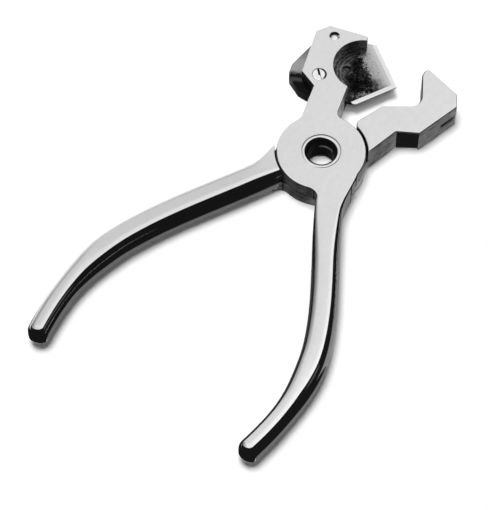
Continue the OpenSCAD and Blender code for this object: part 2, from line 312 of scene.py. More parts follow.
def bow(handle, d):
    """Sideways place of a handle's centreline at the distance d from the pivot."""
    waist, belly, end, length = handle[:4]
    stretches = [(ROOT_Y, WAIST_Y, waist + ROOT_OUT, waist, SLOPES[0], SLOPES[1]),
                 (WAIST_Y, BELLY_Y, waist, belly, SLOPES[1], 0.0),
                 (BELLY_Y, length, belly, end, 0.0, SLOPES[2])]
    for y0, y1, a, b, slope_a, slope_b in stretches:
        if d <= y1 or y1 == length:
            return -hermite(a, b, slope_a, slope_b, (d - y0) / (y1 - y0), y1 - y0)


def section(handle, d):
    """Half width, half thickness and edge radius of a handle at the distance d."""
    edge_start, edge_full = handle[4:]
    taper = smooth((d - TAPER_Y[0]) / (TAPER_Y[1] - TAPER_Y[0]))
    spread = smooth((d - ROOT_Y) / (WAIST_Y - ROOT_Y))
    w = mix(mix(ROOT_W, HANDLE_W, spread), HANDLE_END_W, taper) / 2
    t = mix(THICK - SINK, HANDLE_END_T, taper) / 2
    r = mix(ROOT_EDGE_R, HANDLE_EDGE_R, smooth((d - edge_start) / (edge_full - edge_start)))
    return w, t, min(r, w - EDGE_FLAT)


def ring_point(corner, step, steps, w, t, r):
    """Point of a rounded rectangle: which corner, and how far round its arc."""
    a = math.radians(90 * (corner + step / steps))
    u = (w - r if corner in (0, 3) else r - w) + r * math.cos(a)
    v = (t - r if corner < 2 else r - t) + r * math.sin(a)
    return u, v


def handle_solid(handle, stations=110, cap=10, steps=9):
    """A handle swept along its bow and closed by a round end."""
    length = handle[3]
    around = 4 * (steps + 1)
    bm = bmesh.new()
    ring = bmesh.ops.create_circle(bm, cap_ends=False, segments=around, radius=1)["verts"]
    rings = [ring]
    edges = list(bm.edges)
    for _ in range(stations + cap - 1):
        grown = bmesh.ops.extrude_edge_only(bm, edges=edges)["geom"]
        edges = [g for g in grown if isinstance(g, bmesh.types.BMEdge)
                 and all(v in grown for v in g.verts)]
        link = {v: e.other_vert(v) for v in grown if isinstance(v, bmesh.types.BMVert)
                for e in v.link_edges if e.other_vert(v) not in grown}
        back = {old: new for new, old in link.items()}
        rings.append([back[v] for v in rings[-1]])
    for i, verts in enumerate(rings):
        turn = math.radians(90) * max(0, i - stations) / cap
        d = mix(ROOT_Y, length, min(i, stations) / stations)
        w, t, r = section(handle, d)
        lead = w * math.sin(turn)
        along = Vector((bow(handle, d + 0.01) - bow(handle, d - 0.01), -0.02)).normalized()
        centre = Vector((bow(handle, d), -d)) + along * lead
        across = Vector((-along.y, along.x))
        shrink = math.cos(turn)
        for k, vert in enumerate(verts):
            u, v = ring_point(k // (steps + 1), k % (steps + 1), steps, w, t, r)
            place = centre + across * u * shrink
            vert.co = (place.x, place.y, v * shrink)
    bmesh.ops.holes_fill(bm, edges=[e for e in bm.edges if e.is_boundary], sides=0)
    end = [f for f in bm.faces if len(f.verts) == around and rings[-1][0] in f.verts]
    bmesh.ops.poke(bm, faces=end)
    tip = bow(handle, length), -length
    w = section(handle, length)[0]
    along = Vector((bow(handle, length) - bow(handle, length - 0.01), -0.01)).normalized()
    peak = min(bm.verts, key=lambda v: (v.co.xy - Vector(tip) - along * w).length + abs(v.co.z))
    peak.co = (*(Vector(tip) + along * w), 0)
    return bm


# The two halves

def rivet_cutter():
    """Bore with a countersink at each end, and the running clearance round the rivet."""
    r = BARREL_R + RIVET_PLAY
    flare = RIVET_RIM_R - BARREL_R
    return turned([(0, -FACE - PAST), (r + flare + PAST, -FACE - PAST), (r, flare - FACE),
                   (r, FACE - flare), (r + flare + PAST, FACE + PAST), (0, FACE + PAST)],
                  steps=128)


def soften_cuts(obj, test, width):
    """A fine bevel along the sharp edges that a test picks out."""
    bm = bmesh.new()
    bm.from_mesh(obj.data)
    edges = [e for e in bm.edges if len(e.link_faces) == 2
             and e.calc_face_angle() > math.radians(50) and test(e)]
    bmesh.ops.bevel(bm, geom=edges, offset=width, segments=2, profile=0.5, affect="EDGES",
                    clamp_overlap=True, material=-1)
    bm.to_mesh(obj.data)
    bm.free()


def forged_half(name, outline, handle, crotch):
    """Disc, neck and jaw in one piece with the handle."""
    upper = plate(upper_outline(*outline, crotch), LAP, FACE)
    round_edges(upper, edges_at(upper, FACE), RIM_R)
    round_edges(upper, edges_at(upper, LAP, DISC_R + 0.01), LAP_EDGE, 2)
    half = new_object(name, upper)
    cut(half, rivet_cutter())
    lower = plate(lower_outline(*outline), -FACE, LAP + PAST)
    round_edges(lower, edges_at(lower, -FACE), RIM_R)
    boolean(half, new_object("lower", lower), "UNION")
    grip = new_object("grip", handle_solid(handle))
    low = LAP + SINK
    cut(grip, turned([(0, -FACE - PAST), (RELIEF_R, -FACE - PAST), (RELIEF_R, low),
                      (GRIP_REACH, low), (GRIP_REACH, FACE + PAST), (0, FACE + PAST)], steps=150))
    cut(grip, block((-60, SHOULDER_TOP, -FACE - PAST), (-RELIEF_R / 2, 60, low)))
    soften_cuts(grip, lambda e: all(abs(v.co.xy.length - RELIEF_R) < 0.02 for v in e.verts)
                and sum(v.co.z for v in e.verts) < -FACE, RIM_R)
    boolean(half, grip, "UNION")
    return half


def surface_of(face, low):
    """Which finish a face has: 0 plated, 1 ground flank, 2 near black as painted shade, 3 disc rim
    darkened as painted shade.
    """
    middle, normal = face.center, face.normal
    upright = abs(normal.z) < UPRIGHT
    reach = middle.xy.length
    slanted = normal.x > 0.6 and normal.y < -0.5 and middle.x > NECK_OUTER
    in_recess = (middle.xy - Vector(RECESS_AT)).length < RECESS_R + CUT_EDGE
    # Painted shade: the lap face and the relief wall in the gap round the other half's disc go near
    # black.
    if abs(middle.z - LAP) < LAP or upright and abs(reach - RELIEF_R) < 0.1:
        return 2
    in_crotch = middle.x > CROTCH_END_X and middle.z > LAP and reach < DISC_R + CROTCH_R
    # Painted shade: the disc rim and the hollow corner between the handles are darkened.
    if upright and middle.y < PAINTED_SHADE_RIM_Y and (abs(reach - DISC_R) < 0.1 or in_crotch):
        return 3
    return 1 if upright and middle.y > low and not slanted and not in_recess else 0


def to_tool(half):
    """From a half's upright drawing in millimetres to its place in the open tool in metres."""
    side, mirror = half
    return (Matrix.Rotation(math.radians(side * HALF_ANGLE), 4, "Z")
            @ Matrix.Diagonal((*mirror, 1)) @ Matrix.Scale(MM, 4))


def put_in_place(obj, half):
    bm = bmesh.new()
    bm.from_mesh(obj.data)
    bmesh.ops.remove_doubles(bm, verts=bm.verts, dist=1e-4)
    bmesh.ops.transform(bm, matrix=to_tool(half), verts=bm.verts)
    bmesh.ops.recalc_face_normals(bm, faces=bm.faces)
    bm.to_mesh(obj.data)
    bm.free()
    finish_normals(obj)


def give_materials(obj, materials, pick=lambda face: 0):
    """The materials of an object, one picked for each face."""
    obj.data.materials.clear()
    for material in materials:
        obj.data.materials.append(material)
    for face in obj.data.polygons:
        face.material_index = pick(face)


def hand_in(obj, part, node_name):
    """The piece moves with its part and stands for its CAD node, which is hidden."""
    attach(obj, part)
    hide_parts(node_name)


def finish_normals(obj, angle=30):
    """Smooth shading, sharp at real corners, with flat faces kept flat."""
    mesh = obj.data
    for face in mesh.polygons:
        face.use_smooth = True
    mesh.set_sharp_from_angle(angle=math.radians(angle))
    modifier = obj.modifiers.new("flat_faces", "WEIGHTED_NORMAL")
    modifier.keep_sharp = True
    modifier.weight = 60


# Materials

def new_material(name, color, metallic=1.0, roughness=0.3):
    material = bpy.data.materials.new(name)
    material.use_nodes = True
    shader = material.node_tree.nodes["Principled BSDF"]
    shader.inputs["Base Color"].default_value = (*color, 1)
    shader.inputs["Metallic"].default_value = metallic
    shader.inputs["Roughness"].default_value = roughness
    return material


def node(tree, kind, *inputs, **settings):
    """The outputs of a new node, after its settings and its inputs: sockets, values or None."""
    made = tree.nodes.new("ShaderNode" + kind)
    for key, value in settings.items():
        setattr(made, key, value)
    for socket, value in zip(made.inputs, inputs):
        if isinstance(value, bpy.types.NodeSocket):
            tree.links.new(value, socket)
        elif value is not None:
            socket.default_value = value
    return made.outputs


def math_node(tree, operation, *inputs):
    return node(tree, "Math", *inputs, operation=operation)[0]


def ramp(tree, value, start, end, low, high, shape="SMOOTHSTEP"):
    return node(tree, "MapRange", value, start, end, low, high, interpolation_type=shape)[0]


def blend(tree, factor, low, high):
    """Low where the factor is 0 and high where it is 1."""
    return node(tree, "MapRange", factor, 0.0, 1.0, low, high, interpolation_type="LINEAR")[0]


def apart(tree, vector):
    return node(tree, "SeparateXYZ", vector)


def toward(tree, vector, direction):
    """How nearly a vector points in a direction, 1 where it does."""
    unit = node(tree, "VectorMath", vector, operation="NORMALIZE")["Vector"]
    return node(tree, "VectorMath", unit, direction, operation="DOT_PRODUCT")["Value"]


def new_group(name, inputs, outputs):
    """A shared effect: its tree, and the sockets that its own nodes use."""
    tree = bpy.data.node_groups.new(name, "ShaderNodeTree")
    for label in inputs:
        kind = "NodeSocketVector" if label == "Vector" else "NodeSocketFloat"
        tree.interface.new_socket(label, in_out="INPUT", socket_type=kind)
    for label in outputs:
        tree.interface.new_socket(label, in_out="OUTPUT", socket_type="NodeSocketFloat")
    return tree, tree.nodes.new("NodeGroupInput").outputs, tree.nodes.new("NodeGroupOutput").inputs


def use(tree, group, *inputs):
    made = tree.nodes.new("ShaderNodeGroup")
    made.node_tree = group
    for socket, value in zip(made.inputs, inputs):
        if isinstance(value, bpy.types.NodeSocket):
            tree.links.new(value, socket)
        else:
            socket.default_value = value
    return made.outputs


def mottle_group():
    """Uneven tone round 1: broad patches with fine speckle in them."""
    tree, given, result = new_group("mottle", ("Vector", "Scale", "Amount"), ("Tone", "Height"))
    broad = node(tree, "TexNoise", given["Vector"], None, given["Scale"], 2.0)[0]
    fine_scale = math_node(tree, "MULTIPLY", given["Scale"], 5.3)
    fine = node(tree, "TexNoise", given["Vector"], None, fine_scale, 3.0)[0]
    both = math_node(tree, "ADD", math_node(tree, "MULTIPLY", broad, 0.9),
                     math_node(tree, "MULTIPLY", fine, 1.1))
    tree.links.new(both, result["Height"])
    swing = math_node(tree, "MULTIPLY", math_node(tree, "SUBTRACT", both, 1.0), given["Amount"])
    tree.links.new(math_node(tree, "ADD", swing, 1.0), result["Tone"])
    return tree


def streak_group():
    """Grinding lines that run level round the upright faces, with a few deep ones."""
    tree, given, result = new_group("streaks", ("Vector", "Fineness", "Amount"),
                                    ("Tone", "Height"))
    long = node(tree, "Mapping", given["Vector"], None, None, (0.3, 0.3, 1.5))[0]
    lines = node(tree, "TexNoise", long, None, given["Fineness"], 4.0)[0]
    deep = ramp(tree, node(tree, "TexNoise", long, None,
                           math_node(tree, "MULTIPLY", given["Fineness"], 0.45), 1.0)[0],
                0.56, 0.7, 0.0, 0.6)
    tree.links.new(lines, result["Height"])
    swing = math_node(tree, "MULTIPLY", math_node(tree, "SUBTRACT", lines, 0.5), given["Amount"])
    tone = math_node(tree, "SUBTRACT", math_node(tree, "ADD", swing, 1.0), deep)
    tree.links.new(math_node(tree, "MAXIMUM", tone, 0.05), result["Tone"])
    return tree


def rings_group():
    """Turning marks round the vector's origin, from 0 to 1."""
    tree, given, result = new_group("rings", ("Vector", "Spacing", "Wobble"), ("Value",))
    flat = node(tree, "Mapping", given["Vector"], None, None, (1.0, 1.0, 0.0))[0]
    radius = node(tree, "VectorMath", flat, operation="LENGTH")["Value"]
    noise = node(tree, "TexNoise", given["Vector"], None, 0.5, 2.0)[0]
    turned = math_node(tree, "ADD", radius, math_node(tree, "MULTIPLY", noise, given["Wobble"]))
    wave = math_node(tree, "SINE", math_node(tree, "MULTIPLY", turned,
                                             math_node(tree, "DIVIDE", math.tau, given["Spacing"])))
    tree.links.new(ramp(tree, wave, -1.0, 1.0, 0.0, 1.0, "LINEAR"), result["Value"])
    return tree


mottle = mottle_group()
streaks = streak_group()
rings = rings_group()


def millimetres(tree, turn=0.0, origin=(0, 0)):
    """Object coordinates in millimetres, turned back to the upright drawing, from an origin."""
    place = node(tree, "TexCoord")["Object"]
    grown = node(tree, "Mapping", place, None, (0, 0, -math.radians(turn)),
                 (1 / MM, 1 / MM, 1 / MM))[0]
    return node(tree, "Mapping", grown, (-origin[0], -origin[1], 0.0))[0]


def finish(material, color, roughness=None, height=None, strength=0.15, metallic=None):
    """Links the worked-out values to the shader's sockets."""
    tree = material.node_tree
    shader = tree.nodes["Principled BSDF"].inputs
    tree.links.new(color, shader["Base Color"])
    if roughness is not None:
        tree.links.new(roughness, shader["Roughness"])
    if metallic is not None:
        tree.links.new(metallic, shader["Metallic"])
    if height is not None:
        bump = tree.nodes.new("ShaderNodeBump")
        bump.inputs["Strength"].default_value = strength
        bump.inputs["Distance"].default_value = 0.1 * MM
        tree.links.new(height, bump.inputs["Height"])
        tree.links.new(bump.outputs["Normal"], shader["Normal"])
    return material


def chrome(name, turn, painted_handle_shade):
    """Plated surface, a little uneven, satin on the flats and glossier along the handles, whose
    tone can be scaled down by a painted shade factor.
    """
    material = new_material(name, (0.7, 0.7, 0.7))
    tree = material.node_tree
    place = millimetres(tree, turn)
    along = apart(tree, place)[1]
    fine = use(tree, mottle, place, 1.1, 0.07)
    broad = use(tree, mottle, place, 0.07, 0.07)
    # Painted shade: along the handle the plated tone is multiplied by the shade factor.
    tone = math_node(tree, "MULTIPLY", ramp(tree, along, -34.0, -4.0, 0.7 * painted_handle_shade, 0.7),
                     fine["Tone"])
    tone = math_node(tree, "MULTIPLY", tone, broad["Tone"])
    satin = ramp(tree, along, -40.0, 0.0, 0.05, 0.14)
    rough = math_node(tree, "MULTIPLY", satin, broad["Tone"])
    return finish(material, tone, rough, fine["Height"], 0.02)


def ground_steel(name, turn, color, patchy=0.6):
    """Flanks and rims as the wheel left them, duller than the plated faces."""
    material = new_material(name, (color, color, color))
    tree = material.node_tree
    place = millimetres(tree, turn)
    lines = use(tree, streaks, place, 1.0, 2.4)
    patches = use(tree, mottle, place, 0.35, patchy)
    tone = math_node(tree, "MULTIPLY", math_node(tree, "MULTIPLY", lines["Tone"],
                                                 patches["Tone"]), color)
    rough = ramp(tree, lines["Height"], 0.3, 0.7, 0.3, 0.5)
    metal = ramp(tree, patches["Height"], 0.7, 1.3, 0.25, 0.6)
    return finish(material, tone, rough, lines["Height"], 0.35, metal)


def turned_steel(name, color, spacing, origin=(0, 0), turn=0.0):
    """Bright steel with fine turning marks round an axis."""
    material = new_material(name, (color, color, color))
    tree = material.node_tree
    place = millimetres(tree, turn, origin)
    marks = use(tree, rings, place, spacing, 0.15)["Value"]
    uneven = use(tree, mottle, place, 0.9, 0.2)
    tone = math_node(tree, "MULTIPLY", blend(tree, marks, color * 0.9, color), uneven["Tone"])
    return finish(material, tone, blend(tree, marks, 0.08, 0.18), marks, 0.05)


def screw_finish(name, origin):
    """Bright head with painted shade along one side of its rim and in the far end of its slot."""
    material = new_material(name, (0.85, 0.85, 0.85), 1.0, 0.2)
    tree = material.node_tree
    place = millimetres(tree, HALF_ANGLE, origin)
    flat = node(tree, "Mapping", place, None, None, (1.0, 1.0, 0.0))[0]
    reach = node(tree, "VectorMath", flat, operation="LENGTH")["Value"]
    side = ramp(tree, toward(tree, flat, (0.92, 0.39, 0.0)), 0.1, 0.7, 0.0, 1.0)
    rim = math_node(tree, "MULTIPLY", ramp(tree, reach, 1.75, 2.2, 0.0, 1.0), side)
    far_end = ramp(tree, toward(tree, flat, (-0.4, 0.92, 0.0)), -0.1, 0.4, 0.0, 1.0)
    slot = math_node(tree, "MULTIPLY", far_end,
                     ramp(tree, apart(tree, place)[2], FACE - 0.1, FACE - 0.3, 0.0, 1.0))
    uneven = use(tree, mottle, place, 1.2, 0.3)
    # Painted shade: one side of the rim and the slot's far end go near black.
    painted_shade_mask = math_node(tree, "MAXIMUM", rim, slot)
    tone = math_node(tree, "MULTIPLY", blend(tree, painted_shade_mask, 0.85, 0.02), uneven["Tone"])
    return finish(material, tone, blend(tree, painted_shade_mask, 0.12, 0.4), uneven["Height"], 0.05)


def black_oxide():
    """Oiled black finish, glossy, with a painted grey sheen on the upper part of the bulge and a
    faint painted highlight streak.
    """
    material = new_material("black_oxide", (0.01, 0.01, 0.01), 0.0, 0.25)
    material.node_tree.nodes["Principled BSDF"].inputs["IOR"].default_value = 1.05
    tree = material.node_tree
    place = millimetres(tree, HALF_ANGLE)
    y = apart(tree, place)[1]
    patches = use(tree, mottle, place, 0.45, 1.0)
    grain = use(tree, mottle, place, 1.6, 1.0)
    edge = math_node(tree, "ADD", y, math_node(tree, "MULTIPLY", patches["Height"], 2.5))
    # Painted sheen: grey on the upper part of the bulge, weaker towards its far end.
    painted_upper_sheen = math_node(tree, "MULTIPLY", ramp(tree, edge, 36.8, 39.6, 0.0, 1.0),
                       ramp(tree, y, 39.0, 46.0, 1.0, 0.45))
    painted_upper_sheen = math_node(tree, "MULTIPLY", painted_upper_sheen, ramp(tree, grain["Height"], 0.7, 1.3, 0.6, 1.3))
    # Painted highlight: a faint grey streak across the bulge.
    painted_streak = math_node(tree, "MULTIPLY", ramp(tree, y, 31.2, 32.4, 0.0, 0.14),
                      ramp(tree, y, 33.8, 32.6, 0.0, 1.0))
    painted_sheen = math_node(tree, "MAXIMUM", painted_upper_sheen, painted_streak)
    return finish(material, blend(tree, painted_sheen, 0.006, 0.29), blend(tree, painted_sheen, 0.22, 0.6),
                  patches["Height"], 0.15)


def painted_shade_steel(name, color):
    """Steel painted near black as shade, with a faint unevenness."""
    material = new_material(name, (color, color, color), 0.0, 0.3)
    material.node_tree.nodes["Principled BSDF"].inputs["IOR"].default_value = 1.05
    tree = material.node_tree
    uneven = use(tree, mottle, millimetres(tree), 0.8, 0.6)
    return finish(material, math_node(tree, "MULTIPLY", uneven["Tone"], color),
                  ramp(tree, uneven["Height"], 0.7, 1.3, 0.2, 0.4))


def painted_bore_finish():
    """The rivet's bore: near black as painted shade, with a painted highlight in one short band
    half-way down.
    """
    material = new_material("bore_painted_shade_and_highlight", (0.01, 0.01, 0.01), 0.0, 0.2)
    material.node_tree.nodes["Principled BSDF"].inputs["IOR"].default_value = 1.05
    tree = material.node_tree
    place = millimetres(tree)
    height = apart(tree, place)[2]
    side = toward(tree, node(tree, "Mapping", place, None, None, (1.0, 1.0, 0.0))[0],
                  (-0.148, 0.989, 0.0))
    # Painted highlight: a bright band half-way down the bore, on one side.
    band = math_node(tree, "MULTIPLY", ramp(tree, height, 0.5, 1.1, 0.0, 1.0),
                     ramp(tree, height, 1.9, 1.3, 0.0, 1.0))
    painted_sheen = math_node(tree, "MULTIPLY", band, ramp(tree, side, 0.78, 0.98, 0.0, 1.0))
    uneven = use(tree, mottle, place, 0.8, 0.5)
    tone = math_node(tree, "MULTIPLY", uneven["Tone"], blend(tree, painted_sheen, 0.006, 0.45))
    return finish(material, tone, blend(tree, painted_sheen, 0.25, 0.5))


def heat_marked_steel():
    """The blade's face: black where it was heated, with a ragged limit and a pale border."""
    material = new_material("heat_marked_steel", (0.3, 0.3, 0.3))
    tree = material.node_tree
    place = millimetres(tree, HALF_ANGLE)
    x = apart(tree, place)[0]
    ragged = use(tree, mottle, place, 0.6, 1.0)["Height"]
    speckle = use(tree, mottle, place, 1.3, 1.0)["Height"]
    clouds = use(tree, mottle, place, 0.3, 1.0)["Height"]
    from_upper = node(tree, "VectorMath", place, (-0.8387, -0.5446, 0.0),
                      operation="DOT_PRODUCT")[1]
    from_lower = node(tree, "VectorMath", place, (-0.6361, 0.7716, 0.0),
                      operation="DOT_PRODUCT")[1]
    upper = math_node(tree, "ADD", from_upper, 37.10)
    lower = math_node(tree, "ADD", from_lower, -15.34)

    limit = math_node(tree, "ADD", upper, math_node(tree, "MULTIPLY", ragged, 5.0))
    limit = math_node(tree, "ADD", limit, math_node(tree, "MULTIPLY", speckle, 2.0))
    soft = ramp(tree, lower, 10.0, 3.0, 0.5, 2.6)
    middle = ramp(tree, lower, 10.0, 2.0, 14.2, 12.4)
    pale = ramp(tree, limit, math_node(tree, "ADD", middle, soft),
                math_node(tree, "SUBTRACT", middle, soft), 0.0, 1.0)
    spots = math_node(tree, "MULTIPLY", ramp(tree, ragged, 1.02, 1.16, 0.0, 0.6),
                      math_node(tree, "MULTIPLY", ramp(tree, lower, 5.2, 3.6, 0.0, 1.0),
                                ramp(tree, x, 14.0, 10.0, 0.0, 1.0)))
    pale = math_node(tree, "MAXIMUM", pale, spots)

    around = millimetres(tree, HALF_ANGLE, (-RECESS_AT[0], RECESS_AT[1]))
    flat = node(tree, "Mapping", around, None, None, (1.0, 1.0, 0.0))[0]
    reach = node(tree, "VectorMath", flat, operation="LENGTH")["Value"]
    arcs = use(tree, rings, around, 1.3, 2.2)["Value"]
    # Painted reflection of the recess wall: faint grey arcs round the recess on the dark face.
    painted_recess_reflection = math_node(tree, "MULTIPLY", blend(tree, arcs, 0.02, 0.12),
                      math_node(tree, "MULTIPLY", ramp(tree, reach, 5.6, 8.6, 0.0, 1.0),
                                ramp(tree, x, 5.0, 0.5, 0.0, 1.0)))
    hole = node(tree, "Mapping", place, (-BLADE_HOLE[0], -BLADE_HOLE[1], 0.0), None,
                (1.0, 1.0, 0.0))[0]
    from_hole = node(tree, "VectorMath", hole, operation="LENGTH")["Value"]
    halo = math_node(tree, "MULTIPLY", ramp(tree, from_hole, 2.9, 2.1, 0.0, 0.06),
                     math_node(tree, "MULTIPLY", ramp(tree, from_hole, 1.3, 1.9, 0.0, 1.0),
                               ramp(tree, clouds, 0.8, 1.1, 0.2, 1.0)))
    haze = ramp(tree, clouds, 0.9, 1.4, 0.002, 0.05)
    grain = ramp(tree, speckle, 0.6, 1.4, 0.5, 1.5)
    dark = math_node(tree, "ADD", math_node(tree, "ADD", painted_recess_reflection, halo), haze)
    dark = math_node(tree, "MULTIPLY", dark, grain)
    stain = ramp(tree, speckle, 1.05, 1.22, 1.0, 0.4)
    stain = math_node(tree, "MAXIMUM", stain, ramp(tree, upper, 4.6, 2.6, 0.0, 1.0))
    bright = math_node(tree, "MULTIPLY", ramp(tree, upper, 6.5, 1.4, 0.36, 0.54), stain)
    tone = blend(tree, pale, dark, bright)
    return finish(material, tone, blend(tree, pale, 0.34, 0.24), ragged, 0.08)


def honed_steel():
    """The blade's cutting bevels, bright and a little uneven."""
    material = new_material("honed_steel", (0.72, 0.72, 0.72), 1.0, 0.16)
    tree = material.node_tree
    place = millimetres(tree, HALF_ANGLE)
    uneven = use(tree, mottle, place, 1.1, 0.12)
    return finish(material, math_node(tree, "MULTIPLY", uneven["Tone"], 0.72),
                  ramp(tree, uneven["Height"], 0.7, 1.3, 0.12, 0.22), uneven["Height"], 0.03)


blade_chrome = chrome("chrome_blade_half", HALF_ANGLE, 1.0)
# The anvil's handle gets a painted shade, 0.86 of the plated tone.
anvil_chrome = chrome("chrome_anvil_half", -HALF_ANGLE, 0.86)
blade_flank = ground_steel("ground_blade_half", HALF_ANGLE, 0.42)
anvil_flank = ground_steel("ground_anvil_half", -HALF_ANGLE, 0.42)
rim_steel = turned_steel("turned_rim", 0.74, 0.4)
# Dark ground steel, a painted shade for the disc rims between the handles.
blade_painted_shade_rim = ground_steel("painted_shade_rim_blade_half", HALF_ANGLE, 0.14, 2.6)
anvil_painted_shade_rim = ground_steel("painted_shade_rim_anvil_half", -HALF_ANGLE, 0.14, 2.6)
# Near-black steel, a painted shade for gaps, slot walls and shaded flanks.
painted_shade_black = painted_shade_steel("painted_shade_steel", 0.006)
bore_painted_shade_and_highlight = painted_bore_finish()
screw_steel = screw_finish("bright_screw", (-SCREW_AT[0], SCREW_AT[1]))
pin_steel = turned_steel("bright_pin", 0.8, 0.5, (-PIN_AT[0], PIN_AT[1]), HALF_ANGLE)
black = black_oxide()
blade_face = heat_marked_steel()
bevel_face = honed_steel()


# Pieces

BLADE_PLACE = (1, (-1, 1, 1))
ANVIL_PLACE = (-1, (1, 1, -1))

def beside_clamp(face):
    """The slanted flank above the clamp and its edge, painted near black as shade."""
    normal, middle = face.normal, face.center
    outwards = normal.x > 0.2 and normal.y < -0.15 and normal.z < 0.95
    return outwards and middle.x > NECK_OUTER - RIM_R and middle.y > SHOULDER_Y - 1 and middle.z > 0


blade_outline = (jaw_back(BLADE_BACK_Y),
                 [(TIP_X, RECESS_AT[1], 0), (BLADE_MOUTH_X, RECESS_AT[1], 0)], BLADE_NECK_INNER)
blade_half = forged_half("blade_forging", blade_outline, BLADE_HANDLE, BLADE_CROTCH_X)
cut(blade_half, block((-60, POCKET_Y, -THICK), (60, 80, SEAT_Z)))
cut(blade_half, turned([(0, -THICK), (RECESS_R, -THICK), (RECESS_R, THICK), (0, THICK)],
                       RECESS_AT, steps=180))
head = SCREW_HEAD_R + PLAY
shank = SCREW_R + PLAY
land = FACE - SCREW_LAND
cut(blade_half, turned([(0, -FACE), (shank, -FACE), (shank, land - head + shank), (head, land),
                        (head, FACE + PAST), (0, FACE + PAST)], SCREW_AT))
hole = PIN_R + PLAY
cut(blade_half, turned([(0, -FACE), (hole, -FACE), (hole, FACE - PIN_RECESS),
                        (PIN_MOUTH_R, FACE), (PIN_MOUTH_R, FACE + PAST), (0, FACE + PAST)],
                       PIN_AT))
soften_cuts(blade_half, lambda e: all(
    abs((v.co.xy - Vector(RECESS_AT)).length - RECESS_R) < 0.02 and v.co.z > FACE - 0.01
    for v in e.verts), CUT_EDGE)
give_materials(blade_half, [blade_chrome, blade_flank, painted_shade_black, blade_painted_shade_rim],
               lambda face: 2 if beside_clamp(face) else surface_of(face, -20))
put_in_place(blade_half, BLADE_PLACE)
hand_in(blade_half, "blade_side", "blade_half")


def in_seat(face):
    """The upper flank of the vee seat, painted near black as shade."""
    return face.normal.x < -0.3 and face.center.y > 41 and face.center.x < 5


anvil_outline = (jaw_back(ANVIL_BACK_Y), SEAT, NECK_INNER)
anvil_half = forged_half("anvil_forging", anvil_outline, ANVIL_HANDLE, ANVIL_CROTCH_X)
cut(anvil_half, turned([(0, -SLOT_W / 2), (SLOT_R, -SLOT_W / 2), (SLOT_R, SLOT_W / 2),
                        (0, SLOT_W / 2)], SLOT_AT, steps=180))
give_materials(anvil_half, [anvil_chrome, anvil_flank, painted_shade_black, anvil_painted_shade_rim],
               lambda face: 2 if in_seat(face) else surface_of(face, -14))
put_in_place(anvil_half, ANVIL_PLACE)
hand_in(anvil_half, "anvil_side", "anvil_half")


def lip(start, end, steps=6, bulge=0.22):
    """A softly rounded rim between two points of a profile, bulging outwards from the face."""
    points = []
    for i in range(steps + 1):
        t = i / steps
        points.append((mix(start[0], end[0], t),
                       mix(start[1], end[1], t) + bulge * math.sin(math.pi * t)))
    return points


def hollow_rivet():
    """Barrel with a bore and a rolled rim at each end."""
    rim_z = FACE - 0.24
    flare = RIVET_RIM_R - BARREL_R
    rim = lip((MOUTH_R - 0.05, rim_z), (RIVET_RIM_R - 0.2, rim_z))
    upper = ([(BORE_R, FACE - 1.1)] + [(BORE_R + 0.14, FACE - 0.75), (BORE_R + 0.45, FACE - 0.42)]
             + rim + [(RIVET_RIM_R - 0.16, rim_z - 0.3), (BARREL_R, FACE - flare)])
    lower = [(r, -z) for r, z in reversed(upper)]
    return new_object("rolled_rivet", turned(upper + lower, steps=128))


rivet = hollow_rivet()
rivet.data.transform(Matrix.Scale(MM, 4))
# The rivet's mouth and bore take the painted shade with its painted highlight band.
give_materials(rivet, [rim_steel, bore_painted_shade_and_highlight],
               lambda face: 1 if face.center.xy.length < (MOUTH_R - 0.06) * MM else 0)
finish_normals(rivet, 40)
hand_in(rivet, "blade_side", "pivot_rivet")


def copied(node_name, name):
    """A clean copy of a CAD node's mesh, in millimetres and upright in its half's drawing."""
    bm = bmesh.new()
    bm.from_mesh(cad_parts[node_name].data)
    bmesh.ops.remove_doubles(bm, verts=bm.verts, dist=1e-6)
    bmesh.ops.transform(bm, matrix=to_tool(BLADE_PLACE).inverted(), verts=bm.verts)
    bmesh.ops.recalc_face_normals(bm, faces=bm.faces)
    bmesh.ops.dissolve_limit(bm, angle_limit=math.radians(0.5), verts=bm.verts, edges=bm.edges)
    return new_object(name, bm)


blade = copied("cutting_blade", "ground_blade")
# The blade's upright land below its bevels is painted near black as shade.
give_materials(blade, [blade_face, bevel_face, painted_shade_black],
               lambda face: 2 if abs(face.normal.z) < 0.1 else abs(face.normal.z) < 0.99)
put_in_place(blade, BLADE_PLACE)
hand_in(blade, "blade_side", "cutting_blade")

clamp = new_object("oxide_clamp", plate(lower_outline(*blade_outline), -FACE, -SEAT_Z))
bulge = plate(BULGE, -FACE, -SEAT_Z)
round_edges(bulge, edges_at(bulge, -SEAT_Z), BULGE_EDGE_R, 6)
boolean(clamp, new_object("bulge", bulge), "UNION")
cut(clamp, block((-60, -60, -THICK), (60, POCKET_Y + PLAY, THICK)))
cut(clamp, turned([(0, -THICK), (RECESS_R, -THICK), (RECESS_R, THICK), (0, THICK)],
                  RECESS_AT, steps=180))
for at, r in ((SCREW_AT, SCREW_R), (PIN_AT, PIN_R)):
    cut(clamp, turned([(0, 1 - FACE), (r + PLAY, 1 - FACE), (r + PLAY, FACE), (0, FACE)], at))
give_materials(clamp, [black])
put_in_place(clamp, BLADE_PLACE)
hand_in(clamp, "blade_side", "clamp_block")

